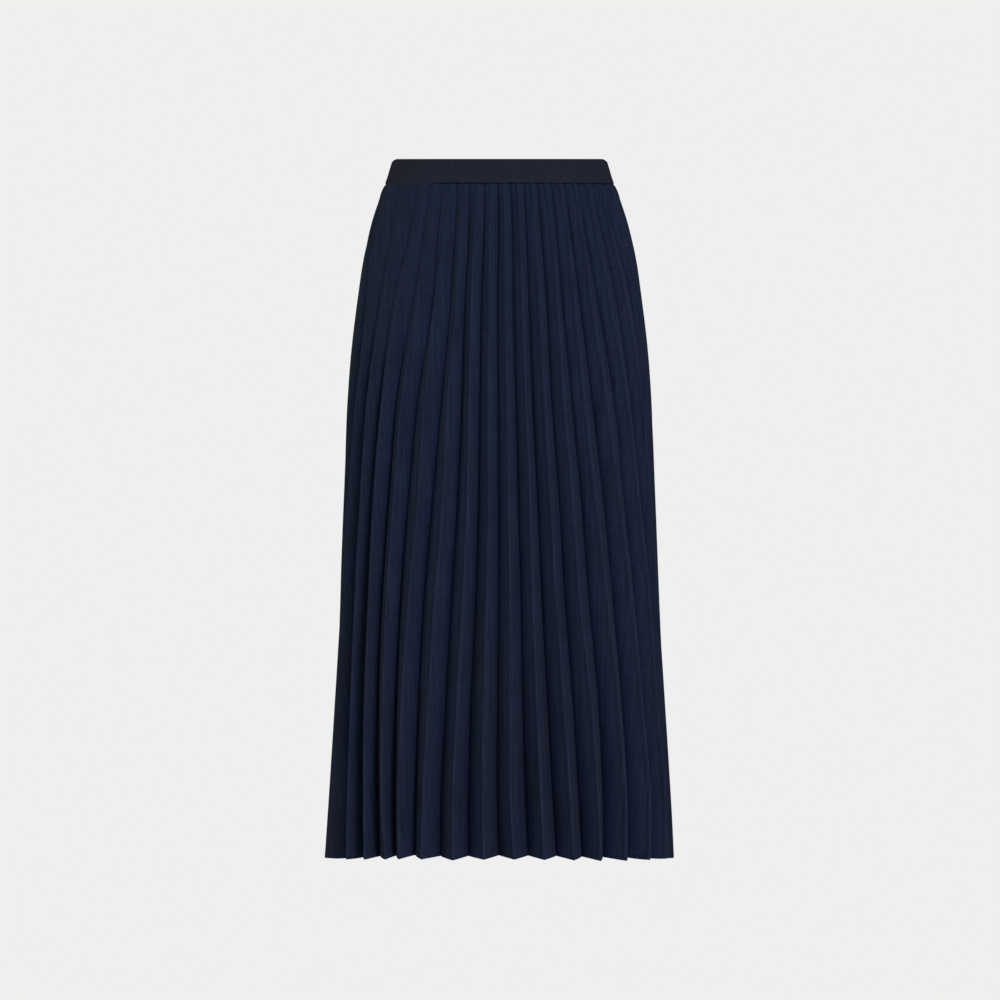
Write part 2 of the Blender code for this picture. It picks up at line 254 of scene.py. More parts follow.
# Where each ridge of the front panel runs, in degrees from the centre front.
# The two seams lie in the valleys at the ends.
Fold = namedtuple("Fold", "waist yoke hip thigh lap knee calf shin hem")
FOLD_DROPS = Fold(0.0200, 0.0510, 0.1500, 0.2670, 0.3840, 0.5000, 0.6170, 0.7450, 0.8000)
LEFT_SEAM = Fold(-84.0, -81.0, -73.0, -76.5, -84.2, -92.0, -96.0, -97.0, -98.0)
FRONT_RIDGES = (
    Fold(-72.0, -70.0, -66.5, -70.8, -76.6, -81.5, -83.5, -85.0, -86.0),
    Fold(-54.0, -52.9, -55.7, -60.6, -63.4, -64.7, -64.6, -62.4, -60.9),
    Fold(-42.7, -41.3, -46.3, -50.4, -53.6, -54.9, -54.3, -51.9, -50.3),
    Fold(-34.2, -32.7, -35.3, -40.1, -43.0, -45.1, -45.0, -43.0, -40.7),
    Fold(-26.6, -25.1, -27.0, -29.6, -31.7, -34.7, -36.3, -36.0, -35.2),
    Fold(-19.3, -18.4, -17.7, -19.9, -21.1, -23.7, -25.4, -26.6, -26.5),
    Fold(-11.9, -11.3, -11.3, -11.5, -11.9, -13.2, -14.7, -15.8, -15.5),
    Fold(-4.3, -4.2, -4.4, -4.2, -4.1, -4.6, -5.4, -5.5, -5.1),
    Fold(2.3, 2.4, 2.4, 2.8, 3.4, 3.7, 3.7, 3.9, 4.8),
    Fold(9.1, 9.1, 9.3, 10.0, 11.4, 12.1, 13.1, 14.2, 14.8),
    Fold(16.4, 16.1, 16.4, 17.3, 19.3, 20.9, 23.0, 24.6, 25.1),
    Fold(24.1, 23.6, 24.1, 25.1, 28.2, 30.2, 33.8, 35.3, 35.3),
    Fold(32.5, 31.6, 32.0, 34.1, 38.6, 42.6, 46.2, 47.5, 46.5),
    Fold(41.6, 39.8, 40.5, 45.6, 51.3, 56.4, 59.7, 61.6, 59.1),
    Fold(51.8, 49.3, 51.1, 57.8, 64.3, 71.3, 73.2, 75.8, 72.8),
    Fold(62.5, 59.5, 63.8, 70.2, 76.4, 82.0, 86.5, 88.0, 84.0),
    Fold(75.0, 71.5, 77.0, 83.0, 88.4, 93.0, 97.0, 98.5, 96.0),
)
RIGHT_SEAM = Fold(84.5, 80.0, 84.0, 89.5, 94.4, 98.5, 102.0, 103.5, 103.0)

# How far each valley between two of those ridges strays from their middle, in degrees towards +X
VALLEY_STRAYS = (
    Fold(3.5, 4.1, 2.9, 1.4, -0.5, -1.6, -1.2, 1.9, 4.0),
    Fold(2.4, 3.4, 2.2, 2.0, -0.3, -1.3, -1.4, -1.0, -0.9),
    Fold(1.9, 1.2, 3.0, 1.2, 0.8, -0.3, -0.9, -1.2, -1.7),
    Fold(1.2, 0.1, 3.0, 1.1, -0.5, -0.6, -0.3, -0.4, -0.6),
    Fold(1.2, 1.1, 1.9, 1.8, -0.1, -0.2, 0.3, 0.6, 0.4),
    Fold(0.6, 0.8, 0.1, 1.0, 0.3, 0.3, 0.4, 0.4, 0.5),
    Fold(0.6, 0.6, 0.3, 0.2, -0.1, 0.0, -0.3, -0.2, -0.3),
    Fold(0.2, 0.3, 0.1, 0.0, -0.1, 0.0, 0.0, 0.0, -0.1),
    Fold(-0.4, -0.1, -0.4, -0.3, -0.5, -0.2, -0.3, -0.1, -0.2),
    Fold(-0.5, -0.6, -0.9, -1.0, -1.0, -0.9, -0.8, -0.5, -0.3),
    Fold(-1.0, -1.0, -0.7, -0.8, -0.7, -0.7, -1.2, -0.9, -0.6),
    Fold(-1.4, -1.2, -1.5, -0.6, -0.6, -1.0, -1.4, -2.1, -2.6),
    Fold(-2.2, -1.8, -1.1, -0.7, -0.7, -1.6, -2.3, -2.7, -2.3),
    Fold(-2.9, -2.5, -0.5, -0.3, -1.3, -1.7, -1.0, -1.0, -1.0),
    Fold(-2.9, -1.0, 0.1, -0.9, 0.6, 2.3, 0.7, 0.1, 0.6),
    Fold(-1.9, -1.8, 2.1, -0.4, -0.1, 1.0, 1.0, 0.0, 0.0),
)

# Heights of the rows of the cloth: first drop, last drop and number of steps of each stretch
Stretch = namedtuple("Stretch", "top bottom steps")
ROW_STRETCHES = (
    Stretch(0.0138, 0.0400, 10),
    Stretch(0.0400, 0.2000, 22),
    Stretch(0.2000, 0.7700, 36),
    Stretch(0.7700, TURN_DROP - TURN_STEP, 4),
    Stretch(TURN_DROP - TURN_STEP, TURN_DROP + TURN_STEP, 2),
    Stretch(TURN_DROP + TURN_STEP, HEM_DROP - HEM_EDGE, 3),
    Stretch(HEM_DROP - HEM_EDGE, HEM_DROP, 3),
)

# Places across a face, as shares of the way from ridge to valley, closer together at both creases
FACE_PLACES = (
    0.02, 0.05, 0.09, 0.15, 0.23, 0.32, 0.41, 0.50,
    0.59, 0.68, 0.77, 0.85, 0.91, 0.95, 0.98,
)

# Stitches: from the middle of one to the middle of the next, and how long and thick each one is
Stitch = namedtuple("Stitch", "spacing length width")
BAND_STITCH = Stitch(0.0028, 0.0021, 0.0004)
HEM_STITCH = Stitch(0.0030, 0.0016, 0.0004)

# Colours of the crepe, the elastic and the thread, each of which drifts between two
CREPE_NAVY = (0.0132, 0.0184, 0.0396, 1.0)
CREPE_BLUER = (0.0113, 0.0186, 0.0413, 1.0)
ELASTIC_NAVY = (0.0129, 0.0146, 0.0280, 1.0)
ELASTIC_PALER = (0.0146, 0.0163, 0.0298, 1.0)
THREAD_NAVY = (0.0200, 0.0240, 0.0460, 1.0)
THREAD_PALER = (0.0300, 0.0350, 0.0600, 1.0)
NAVY_DRIFT = 0.9            # share by which the crepe turns to CREPE_NAVY for each metre down
VALLEY_SHADE_LOSSES = (0.36, 0.28, 0.0)   # shares of its red, green and blue that it loses to painted shade in a valley or gather

# The weave of crepe and elastic
THREAD_WAVER = 2.6          # radians by which the threads waver
WEAVE_HEIGHT = 0.5          # how high their crossings stand beside the slubs
WEAVE_TONE = 0.15           # and how strong they are in the tone


def smooth_curve(x, xs, ys):
    """The values at x of a smooth curve through the points (xs, ys), level past its two ends."""
    xs, ys = np.asarray(xs, float), np.asarray(ys, float)
    x = np.clip(x, xs[0], xs[-1])
    slopes = np.gradient(ys, xs)
    k = np.clip(np.searchsorted(xs, x) - 1, 0, len(xs) - 2)
    step = xs[k + 1] - xs[k]
    u = (x - xs[k]) / step
    rise = (1 + 2 * u) * (1 - u) ** 2 * ys[k] + u * u * (3 - 2 * u) * ys[k + 1]
    return rise + step * u * (1 - u) * ((1 - u) * slopes[k] - u * slopes[k + 1])


def soft_step(x, start, end):
    """Rises smoothly from 0 at start to 1 at end."""
    u = np.clip((x - start) / (end - start), 0.0, 1.0)
    return u * u * (3 - 2 * u)


def section_at(drops):
    """Half width, front depth, back depth and fullness of the outer form at each drop."""
    known = [s.drop for s in SECTIONS]
    columns = [[s[c] for s in SECTIONS] for c in (1, 2, 3, 4)]
    return [smooth_curve(drops, known, column) for column in columns]


def on_form(angles, form, inset=0.0):
    """The points of a section at angles in degrees, moved inwards by inset along its normal."""
    half_width, front, back, fullness = form
    t = np.radians(angles)
    depth = np.where(np.cos(t) > 0, front, back)
    across = np.sin(t)
    reach = (1 - np.minimum(1.0, np.abs(across)) ** fullness) ** (1 / fullness)
    forwards = np.sign(np.cos(t)) * reach
    point = np.stack([half_width * across, -depth * forwards], axis=-1)
    slant = np.sign(across) * np.abs(across) ** (fullness - 1) / half_width
    facing = np.sign(forwards) * np.abs(forwards) ** (fullness - 1) / depth
    normal = np.stack([slant, -facing], axis=-1)
    normal /= np.linalg.norm(normal, axis=-1, keepdims=True)
    return point - np.asarray(inset)[..., None] * normal


def way_along(points):
    """The way along a line of points, up to each of them."""
    lengths = np.linalg.norm(np.diff(points, axis=0), axis=1)
    return np.concatenate([[0.0], np.cumsum(lengths)])


def evenly_round(start, end, form, count):
    """Angles that part the way round a section from start to end into count equal lengths."""
    angles = np.linspace(start, end, RING_SAMPLES)
    travelled = way_along(on_form(angles, form))
    return np.interp(np.linspace(0.0, travelled[-1], count + 1), travelled, angles)


def fold_angles(drop, form):
    """Angles of all creases in order round the skirt from the left seam, which lies in a valley."""
    def column(fold):
        return float(smooth_curve(drop, FOLD_DROPS, fold))

    left, right = column(LEFT_SEAM), column(RIGHT_SEAM)
    ridges = [column(fold) for fold in FRONT_RIDGES]
    strays = [column(fold) for fold in VALLEY_STRAYS]
    inner_valleys = [(a + b) / 2 + stray for a, b, stray in zip(ridges, ridges[1:], strays)]
    front = [left]
    for ridge, valley in zip(ridges, inner_valleys + [right]):
        front += [ridge, valley]
    back = evenly_round(right, left + 360.0, form, 2 * BACK_PLEATS)
    order = np.arange(len(back))
    back = back + BACK_WANDER * np.sin(WANDER_STEP * order) * np.sin(math.pi * order / len(back))
    return np.array(front + list(back[1:-1]))


def face_width(drop):
    """The width of a face at a drop, from crease to crease."""
    return FACE_AT_WAIST + (FACE_AT_HEM - FACE_AT_WAIST) * drop / HEM_DROP


def row_drops():
    """The drops of all rows of the cloth."""
    stretches = [np.linspace(s.top, s.bottom, s.steps + 1)[1:] for s in ROW_STRETCHES]
    return np.concatenate([[ROW_STRETCHES[0].top]] + stretches)


def face_inset(places, depth, kept, width, drop):
    """How far behind the ridge line a face lies at each place across it, where 0 is the ridge and 1
    the valley. It keeps a given share of the fold's depth, and more than that of the groove."""
    drops = [f.drop for f in FACE_SHAPES]
    plunge, suddenness, groove, bead = (
        float(smooth_curve(drop, drops, [getattr(f, column) for f in FACE_SHAPES]))
        for column in ("plunge", "suddenness", "groove", "bead"))
    from_ridge, to_valley = places * width, (1 - places) * width
    blunt = np.hypot(from_ridge, RIDGE_ROUND) - RIDGE_ROUND
    slope = blunt / (math.hypot(width, RIDGE_ROUND) - RIDGE_ROUND)
    inset = depth * kept * ((1 - plunge) * slope + plunge * places ** suddenness)
    inset += groove * np.sqrt(kept) * np.exp(-(to_valley / GROOVE_REACH) ** 2)
    inset -= bead * kept * np.exp(-(from_ridge / BEAD_REACH) ** 2)
    return inset


def away_from(angles, angle):
    """Degrees from an angle, from -180 to 180."""
    return (angles - angle + 180.0) % 360.0 - 180.0


def eased(angles, drop):
    """The share of their depth that the pleats keep at each angle."""
    waves = np.sin(np.radians(angles) * VARIETY_WAVES + VARIETY_LEAN * drop)
    kept = 1 + PLEAT_VARIETY * waves * math.cos(VARIETY_FADE * drop + VARIETY_START)
    for easing in EASINGS:
        near = np.exp(-(away_from(angles, easing.angle) / easing.reach) ** 4)
        kept -= easing.share * near * math.exp(-((drop - easing.drop) / easing.span) ** 4)
    return kept


def trough_inset(angles, drop):
    """How far the soft troughs draw the cloth in at each angle."""
    inset = np.zeros_like(angles)
    for trough in TROUGHS:
        down = (drop - trough.top) / (trough.bottom - trough.top)
        if 0.0 < down < 1.0:
            across = away_from(angles, trough.angle + trough.slant * down) / trough.half_width
            inset += trough.depth * math.sin(math.pi * down) * np.exp(-across ** 2)
    return inset


def rolled(angles):
    """1 where the band rolls down over the cloth, 0 elsewhere."""
    from_front = away_from(angles, 0.0)
    return soft_step(from_front, *ROLL_STARTS) * (1 - soft_step(from_front, *ROLL_ENDS))


def tuck_inset(angles, drop):
    """How far the cloth dives in just below the band, less how far it puffs out again."""
    below = max(0.0, drop - BAND_HEIGHT / 2)
    puff = WAIST_PUFF * math.exp(-((drop - PUFF_DROP) / PUFF_REACH) ** 2)
    return WAIST_TUCK * math.exp(-(below / TUCK_REACH) ** 2) * (1 - rolled(angles)) - puff


def gather_inset(angles, drop):
    """How far the small gathers under the elastic draw the cloth in at each angle."""
    inset = np.zeros_like(angles)
    for gather in GATHERS:
        down = (drop - BAND_HEIGHT / 2) / (gather.bottom - BAND_HEIGHT / 2)
        if down < 1.0:
            across = away_from(angles, gather.angle + gather.slant * down) / GATHER_REACH
            inset += gather.depth * (1 - max(0.0, down) ** 2) * np.exp(-across ** 2)
    return inset


def panel_rows(first, last):
    """The middle surface of a panel from crease first to crease last. For each column it gives the
    place in creases along the unfolded cloth, and the share of the way from ridge to valley. Then,
    in a row for each height, it gives the points, the share of their depth that the pleats keep,
    how far each point is gathered in, and its angle."""
    creases = np.arange(first, last)
    from_valley = (creases % 2 == 0)[:, None]
    falling = np.array((0.0,) + FACE_PLACES)
    rising = np.append(0.0, 1 - falling[:0:-1])
    along = np.where(from_valley, rising, falling)
    across = np.append(np.where(from_valley, 1 - rising, falling), 1.0)
    rows, kept_rows, gather_rows, angle_rows = [], [], [], []
    for drop in row_drops():
        form = section_at(drop)
        ring = fold_angles(drop, form)
        depth = float(smooth_curve(drop, *zip(*FOLD_DEPTHS)))
        here, after = ring[creases % len(ring)], ring[(creases + 1) % len(ring)]
        turn = away_from(after, here)
        angles = np.append(here[:, None] + turn[:, None] * along, ring[last % len(ring)])
        kept = eased(angles, drop)
        gathered = gather_inset(angles, drop)
        inset = face_inset(across, depth, kept, face_width(drop), drop) + gathered
        inset += trough_inset(angles, drop) + tuck_inset(angles, drop)
        if drop < BAND_HEIGHT / 2:
            inset = np.minimum(inset, WAIST_HOLD - CREASE_INSET)
        rows.append(on_form(angles, form, CREASE_INSET + inset))
        kept_rows.append(kept)
        gather_rows.append(gathered)
        angle_rows.append(angles)
    places = np.append(creases[:, None] + along, last)
    return places, across, *(np.array(r) for r in (rows, kept_rows, gather_rows, angle_rows))


def surface_normals(points):
    """Unit normals of a grid of points, rows downwards and columns towards +X at the front."""
    down = np.gradient(points, axis=0)
    across = np.gradient(points, axis=1)
    normals = np.cross(down, across)
    return normals / np.linalg.norm(normals, axis=-1, keepdims=True)


# A panel's middle surface: rows of points downwards, and what is known about its columns, points
# and rows
Surface = namedtuple("Surface", "points normals places across kept gathered drops")


def panel_surface(first, last):
    """The middle surface of a panel with its hem, held back by half the gap at its two seams."""
    places, across, flat_rows, kept, gathered, angles = panel_rows(first, last)
    drops = row_drops()
    half_width, _, back_depth, _ = (column[:, None] for column in section_at(drops))
    side_share = np.minimum(1.0, np.abs(flat_rows[..., 0]) / half_width)
    back_share = np.maximum(0.0, flat_rows[..., 1]) / back_depth
    near_hem = soft_step(drops, HEM_DROP - HEM_SPREAD, HEM_DROP)[:, None]
    lift = HEM_LIFT * across * near_hem
    lift = lift * (1 - soft_step(np.degrees(np.arcsin(side_share)), *LIFT_FADES))
    rise = (SIDE_RISE * side_share ** 4 + BACK_RISE * back_share) * (drops[:, None] / HEM_DROP) ** 2
    swaying = smooth_curve((angles + 90.0) % 360.0 - 90.0, *zip(*HEM_SWAYS))
    heights = lift + rise + swaying * near_hem - drops[:, None]
    points = np.concatenate([flat_rows, heights[..., None]], axis=-1)

    for edge, beside in ((0, 1), (-1, -2)):
        inwards = points[:, beside] - points[:, edge]
        inwards[:, 2] = 0.0
        inwards /= np.linalg.norm(inwards, axis=1, keepdims=True)
        points[:, edge] += SEAM_GAP / 2 * inwards
    return Surface(points, surface_normals(points), places, across, kept, gathered, drops)


def shell_mesh(name, points, normals, outer, inner, u, v):
    """A closed wall on a grid, from each point's outer and inner offset and unfolded place."""
    rows, columns = points.shape[:2]
    outside = points + outer[..., None] * normals
    inside = points - inner[..., None] * normals
    vertices = np.concatenate([outside.reshape(-1, 3), inside.reshape(-1, 3)])

    index = np.arange(rows * columns).reshape(rows, columns)
    under = index + rows * columns

    def quads(a, b, c, d):
        return np.stack([a, b, c, d], axis=-1).reshape(-1, 4)

    faces = np.concatenate([
        quads(index[:-1, :-1], index[1:, :-1], index[1:, 1:], index[:-1, 1:]),
        quads(under[:-1, :-1], under[:-1, 1:], under[1:, 1:], under[1:, :-1]),
        quads(index[:-1, 0], under[:-1, 0], under[1:, 0], index[1:, 0]),
        quads(index[:-1, -1], index[1:, -1], under[1:, -1], under[:-1, -1]),
        quads(index[0, :-1], index[0, 1:], under[0, 1:], under[0, :-1]),
        quads(index[-1, :-1], under[-1, :-1], under[-1, 1:], index[-1, 1:]),
    ])
    mesh = bpy.data.meshes.new(name)
    mesh.vertices.add(len(vertices))
    mesh.vertices.foreach_set("co", vertices.astype(np.float32).ravel())
    mesh.loops.add(faces.size)
    mesh.loops.foreach_set("vertex_index", faces.astype(np.int32).ravel())
    mesh.polygons.add(len(faces))
    mesh.polygons.foreach_set("loop_start", np.arange(0, faces.size, 4, dtype=np.int32))
    mesh.update(calc_edges=True)

    unfolded = np.stack([np.tile(u.ravel(), 2), np.tile(v.ravel(), 2)], axis=-1)
    uv_map = mesh.uv_layers.new(name="unfolded")
    uv_map.data.foreach_set("uv", unfolded[faces.ravel()].astype(np.float32).ravel())
    mesh.shade_smooth()
    return mesh


def add_number(mesh, name, values):
    """Stores one number for each vertex of a shell, the same on its outside and inside."""
    attribute = mesh.attributes.new(name, "FLOAT", "POINT")
    attribute.data.foreach_set("value", np.tile(values.ravel(), 2).astype(np.float32))


def add_piece(mesh, material):
    """Puts a mesh into the scene as a piece of its own name."""
    mesh.materials.append(material)
    piece = bpy.data.objects.new(mesh.name, mesh)
    bpy.context.scene.collection.objects.link(piece)
    return piece


def make_panel(name, first, last, material):
    """A pleated panel with its turned hem, and the line along which that hem is sewn."""
    cloth = panel_surface(first, last)
    drops, across = cloth.drops, cloth.across
    turned = HEM_PLY * soft_step(drops, TURN_DROP - TURN_STEP, TURN_DROP + TURN_STEP)
    closing = np.sqrt(1 - soft_step(drops, HEM_DROP - HEM_EDGE, HEM_DROP + HEM_BLUNT))
    full = np.ones_like(cloth.kept)
    outer = ((CLOTH_OUT + PLY_OUTSIDE * turned) * closing)[:, None] * full
    inner = ((CLOTH_IN + (1 - PLY_OUTSIDE) * turned) * closing)[:, None] * full
    widths = face_width(drops)[:, None]
    u = (cloth.places[None, :] - (first + last) / 2) * widths
    v = np.repeat(-drops[:, None], len(cloth.places), axis=1)
    mesh = shell_mesh(name, cloth.points, cloth.normals, outer, inner, u, v)

    on_left_face = np.append(np.floor(cloth.places[:-1]) % 2 == 0, False)
    # Painted highlight along each ridge, spreading over its right face
    bead = np.exp(-(across * widths / BEAD_REACH) ** 2)
    glow = np.exp(-(across * widths / GLOW_REACH) ** 2) * ~on_left_face
    # A thin line of painted shade beside each ridge, on its left face
    line = np.exp(-((across * widths - SHADE_LINE_PLACE) / SHADE_LINE_REACH) ** 2) * on_left_face
    painted_light = cloth.kept * soft_step(drops, 0.0, RIDGE_HIGHLIGHT_DROP)[:, None]
    add_number(mesh, "ridge_highlight", painted_light * (bead + GLOW_SHARE * glow))
    add_number(mesh, "ridge_side_shade", cloth.kept * line)
    # Painted shade in the valleys, reaching further up the left faces towards the hem, and in the
    # gathers
    down = np.minimum(1.0, drops / FOLD_DROPS.knee)[:, None]
    reach = SHADE_AT_WAIST + (SHADE_AT_KNEE - SHADE_AT_WAIST) * down
    further = soft_step(drops, FOLD_DROPS.knee, FOLD_DROPS.hem)[:, None]
    reach = reach + (SHADE_AT_HEM - SHADE_AT_KNEE) * further * on_left_face
    shaded = cloth.kept * np.exp(-((1 - across) * widths / reach) ** 2)
    add_number(mesh, "valley_shade", shaded + cloth.gathered / GATHER_DEEPEST)

    sewn = np.argmin(np.abs(drops - (TURN_DROP + TURN_STEP)))
    return add_piece(mesh, material), cloth.points[sewn] + CLOTH_OUT * cloth.normals[sewn]


def band_outline():
    """The cut through the waistband's wall, all round, as (drop, depth behind the outer face)."""
    radius = BAND_EDGE_RADIUS
    flat = BAND_HEIGHT / 2 - radius
    near, far = radius, BAND_THICKNESS - radius

    def rounded(drop, depth, start):
        turns = np.radians(start + np.linspace(0, 90, BAND_EDGE_POINTS)[1:])
        return [(drop - radius * math.sin(turn), depth - radius * math.cos(turn)) for turn in turns]

    outside = [(drop, 0.0) for drop in np.linspace(flat, -flat, BAND_WALL_POINTS)]
    inside = [(drop, BAND_THICKNESS) for drop in np.linspace(-flat, flat, BAND_WALL_POINTS)[1:]]
    top = rounded(-flat, near, 0) + rounded(-flat, far, 90)
    bottom = rounded(flat, far, 180) + rounded(flat, near, 270)
    return outside + top + inside + bottom[:-1]


def band_ring(angles, drop, depth):
    """Points of the waistband at one drop, and at a depth behind its outer face."""
    upper, lower = max(0.0, -drop / (BAND_HEIGHT / 2)), max(0.0, drop / (BAND_HEIGHT / 2))
    roll = rolled(angles) * lower ** 3
    corner_share = BAND_CORNER / section_at(-BAND_HEIGHT / 2)[0]
    past = np.maximum(0.0, (np.abs(np.sin(np.radians(angles))) - 1) / corner_share + 1)
    sink = BAND_TOP_SINK + BAND_FRONT_SINK * np.maximum(0.0, np.cos(np.radians(angles)))
    sink += BAND_CORNER_DROP * past ** 2
    flat = on_form(angles, section_at(drop), depth - ROLL_OUT * roll)
    return np.column_stack([flat, -drop - sink * upper - ROLL_DROP * roll])


def make_band(material):
    """The elastic waistband: a closed ring with rounded edges."""
    outline = band_outline()
    travelled = way_along(outline)
    angles = np.linspace(0.0, 360.0, BAND_SEGMENTS, endpoint=False)
    round_it = way_along(on_form(np.append(angles, 360.0), section_at(0.0)))
    columns = [band_ring(angles, drop, depth) for drop, depth in outline]
    vertices = np.stack(columns, axis=1).reshape(-1, 3)
    size = len(outline)
    faces, unfolded = [], []
    for step in range(BAND_SEGMENTS):
        here, beyond = step * size, (step + 1) % BAND_SEGMENTS * size
        for k in range(size):
            n = (k + 1) % size
            faces.append((here + k, beyond + k, beyond + n, here + n))
            low = travelled[k]
            high = travelled[n] if n else low + BAND_EDGE_RADIUS / 4
            near, far = round_it[step], round_it[step + 1]
            unfolded += [(near, low), (far, low), (far, high), (near, high)]
    mesh = bpy.data.meshes.new("elastic_waistband")
    mesh.from_pydata(vertices.tolist(), [], faces)
    uv_map = mesh.uv_layers.new(name="unfolded")
    uv_map.data.foreach_set("uv", np.array(unfolded, np.float32).ravel())
    mesh.shade_smooth()
    return add_piece(mesh, material)


def set_inputs(node, settings):
    """Sets a node's inputs by their names."""
    for name, value in settings.items():
        node.inputs[name].default_value = value


def number_sockets(tree, inputs, outputs=()):
    """Gives a node tree its number inputs, as (name, value), and its number outputs."""
    for name, value in inputs:
        socket = tree.interface.new_socket(name=name, in_out="INPUT", socket_type="NodeSocketFloat")
        socket.default_value = value
    for name in outputs:
        tree.interface.new_socket(name=name, in_out="OUTPUT", socket_type="NodeSocketFloat")


def stitch_sizes(stitch):
    """The sizes of a stitch, as (name, value)."""
    return zip(("Spacing", "Stitch Length", "Thread Width"), stitch)


def stitch_tree(thread):
    """A node tree that sews along a line: round stitches of one length, with small gaps between."""
    tree = bpy.data.node_groups.new("stitch_row", "GeometryNodeTree")
    tree.interface.new_socket(name="Geometry", in_out="INPUT", socket_type="NodeSocketGeometry")
    number_sockets(tree, stitch_sizes(HEM_STITCH))
    tree.interface.new_socket(name="Geometry", in_out="OUTPUT", socket_type="NodeSocketGeometry")
    nodes, links = tree.nodes, tree.links
    inlet, outlet = nodes.new("NodeGroupInput"), nodes.new("NodeGroupOutput")
    curve = nodes.new("GeometryNodeMeshToCurve")
    points = nodes.new("GeometryNodeResampleCurve")
    points.mode = "LENGTH"
    stitch = nodes.new("GeometryNodeMeshUVSphere")
    set_inputs(stitch, {"Segments": 6, "Rings": 4, "Radius": 0.5})
    size = nodes.new("ShaderNodeCombineXYZ")
    shaped = nodes.new("GeometryNodeTransform")
    turn = nodes.new("FunctionNodeAlignRotationToVector")
    turn.axis = "Z"
    sewn = nodes.new("GeometryNodeInstanceOnPoints")
    real = nodes.new("GeometryNodeRealizeInstances")
    dyed = nodes.new("GeometryNodeSetMaterial")
    dyed.inputs["Material"].default_value = thread
    tangent = nodes.new("GeometryNodeInputTangent")
    for start, end in (
        (inlet.outputs["Geometry"], curve.inputs["Mesh"]),
        (curve.outputs["Curve"], points.inputs["Curve"]),
        (inlet.outputs["Spacing"], points.inputs["Length"]),
        (inlet.outputs["Thread Width"], size.inputs["X"]),
        (inlet.outputs["Thread Width"], size.inputs["Y"]),
        (inlet.outputs["Stitch Length"], size.inputs["Z"]),
        (stitch.outputs["Mesh"], shaped.inputs["Geometry"]),
        (size.outputs[0], shaped.inputs["Scale"]),
        (tangent.outputs[0], turn.inputs["Vector"]),
        (points.outputs["Curve"], sewn.inputs["Points"]),
        (shaped.outputs["Geometry"], sewn.inputs["Instance"]),
        (turn.outputs["Rotation"], sewn.inputs["Rotation"]),
        (sewn.outputs["Instances"], real.inputs["Geometry"]),
        (real.outputs["Geometry"], dyed.inputs["Geometry"]),
        (dyed.outputs["Geometry"], outlet.inputs["Geometry"]),
    ):
        links.new(start, end)
    return tree


def sew(name, tree, lines, closed, stitch):
    """Stitches along one or more lines of points, as one plain piece."""
    vertices, edges = [], []
    for line in lines:
        start, count = len(vertices), len(line)
        vertices += np.asarray(line).tolist()
        steps = count if closed else count - 1
        edges += [(start + k, start + (k + 1) % count) for k in range(steps)]
    guide_mesh = bpy.data.meshes.new(name + "_guide")
    guide_mesh.from_pydata(vertices, edges, [])
    guide = bpy.data.objects.new(name + "_guide", guide_mesh)
    bpy.context.scene.collection.objects.link(guide)
    modifier = guide.modifiers.new("sewing", "NODES")
    modifier.node_group = tree
    sizes = dict(stitch_sizes(stitch))
    for item in tree.interface.items_tree:
        if item.in_out == "INPUT" and item.name in sizes:
            modifier[item.identifier] = sizes[item.name]
    seen = guide.evaluated_get(bpy.context.evaluated_depsgraph_get())
    mesh = bpy.data.meshes.new_from_object(seen)
    guide.modifiers.remove(modifier)
    bpy.data.objects.remove(guide)
    mesh.name = name
    mesh.shade_smooth()
    piece = bpy.data.objects.new(name, mesh)
    bpy.context.scene.collection.objects.link(piece)
    return piece


def new_material(name, settings):
    """A material whose one shader has the given settings; gives its node tree and shader too."""
    material = bpy.data.materials.new(name)
    material.use_nodes = True
    shader = material.node_tree.nodes["Principled BSDF"]
    set_inputs(shader, settings)
    return material, material.node_tree, shader


def new_group(name, inputs, outputs):
    """An empty node group with number inputs, given as (name, value), and number outputs."""
    group = bpy.data.node_groups.new(name, "ShaderNodeTree")
    number_sockets(group, inputs, outputs)
    return group, group.nodes.new("NodeGroupInput"), group.nodes.new("NodeGroupOutput")


def place_group(tree, group, settings):
    """Puts a node group into a tree, with its own settings."""
    node = tree.nodes.new("ShaderNodeGroup")
    node.node_tree = group
    set_inputs(node, settings)
    return node


def feed(tree, socket, source):
    """Links a socket to another one, or sets it to a value."""
    if isinstance(source, bpy.types.NodeSocket):
        tree.links.new(source, socket)
    else:
        socket.default_value = source


def number(tree, operation, a, b):
    """A Math node on two inputs, each a socket or a number; gives its output."""
    node = tree.nodes.new("ShaderNodeMath")
    node.operation = operation
    feed(tree, node.inputs[0], a)
    feed(tree, node.inputs[1], b)
    return node.outputs[0]


def vector(tree, operation, a, b):
    """A Vector Math node on two inputs, each a socket or a value; gives its output."""
    node = tree.nodes.new("ShaderNodeVectorMath")
    node.operation = operation
    feed(tree, node.inputs[0], a)
    feed(tree, node.inputs["Scale" if operation == "SCALE" else 1], b)
    return node.outputs[0]


def noise(tree, place, scale, detail):
    """Soft noise round 0.5; its scale is a socket or a number."""
    node = tree.nodes.new("ShaderNodeTexNoise")
    feed(tree, node.inputs["Vector"], place)
    feed(tree, node.inputs["Scale"], scale)
    feed(tree, node.inputs["Detail"], detail)
    return node.outputs["Fac"]


def unfolded_place(tree):
    """The place on the unfolded cloth."""
    node = tree.nodes.new("ShaderNodeUVMap")
    node.uv_map = "unfolded"
    return node.outputs[0]


def stored_number(tree, name):
    """The number that a shell's vertices carry under a name."""
    node = tree.nodes.new("ShaderNodeAttribute")
    node.attribute_name = name
    return node.outputs["Fac"]


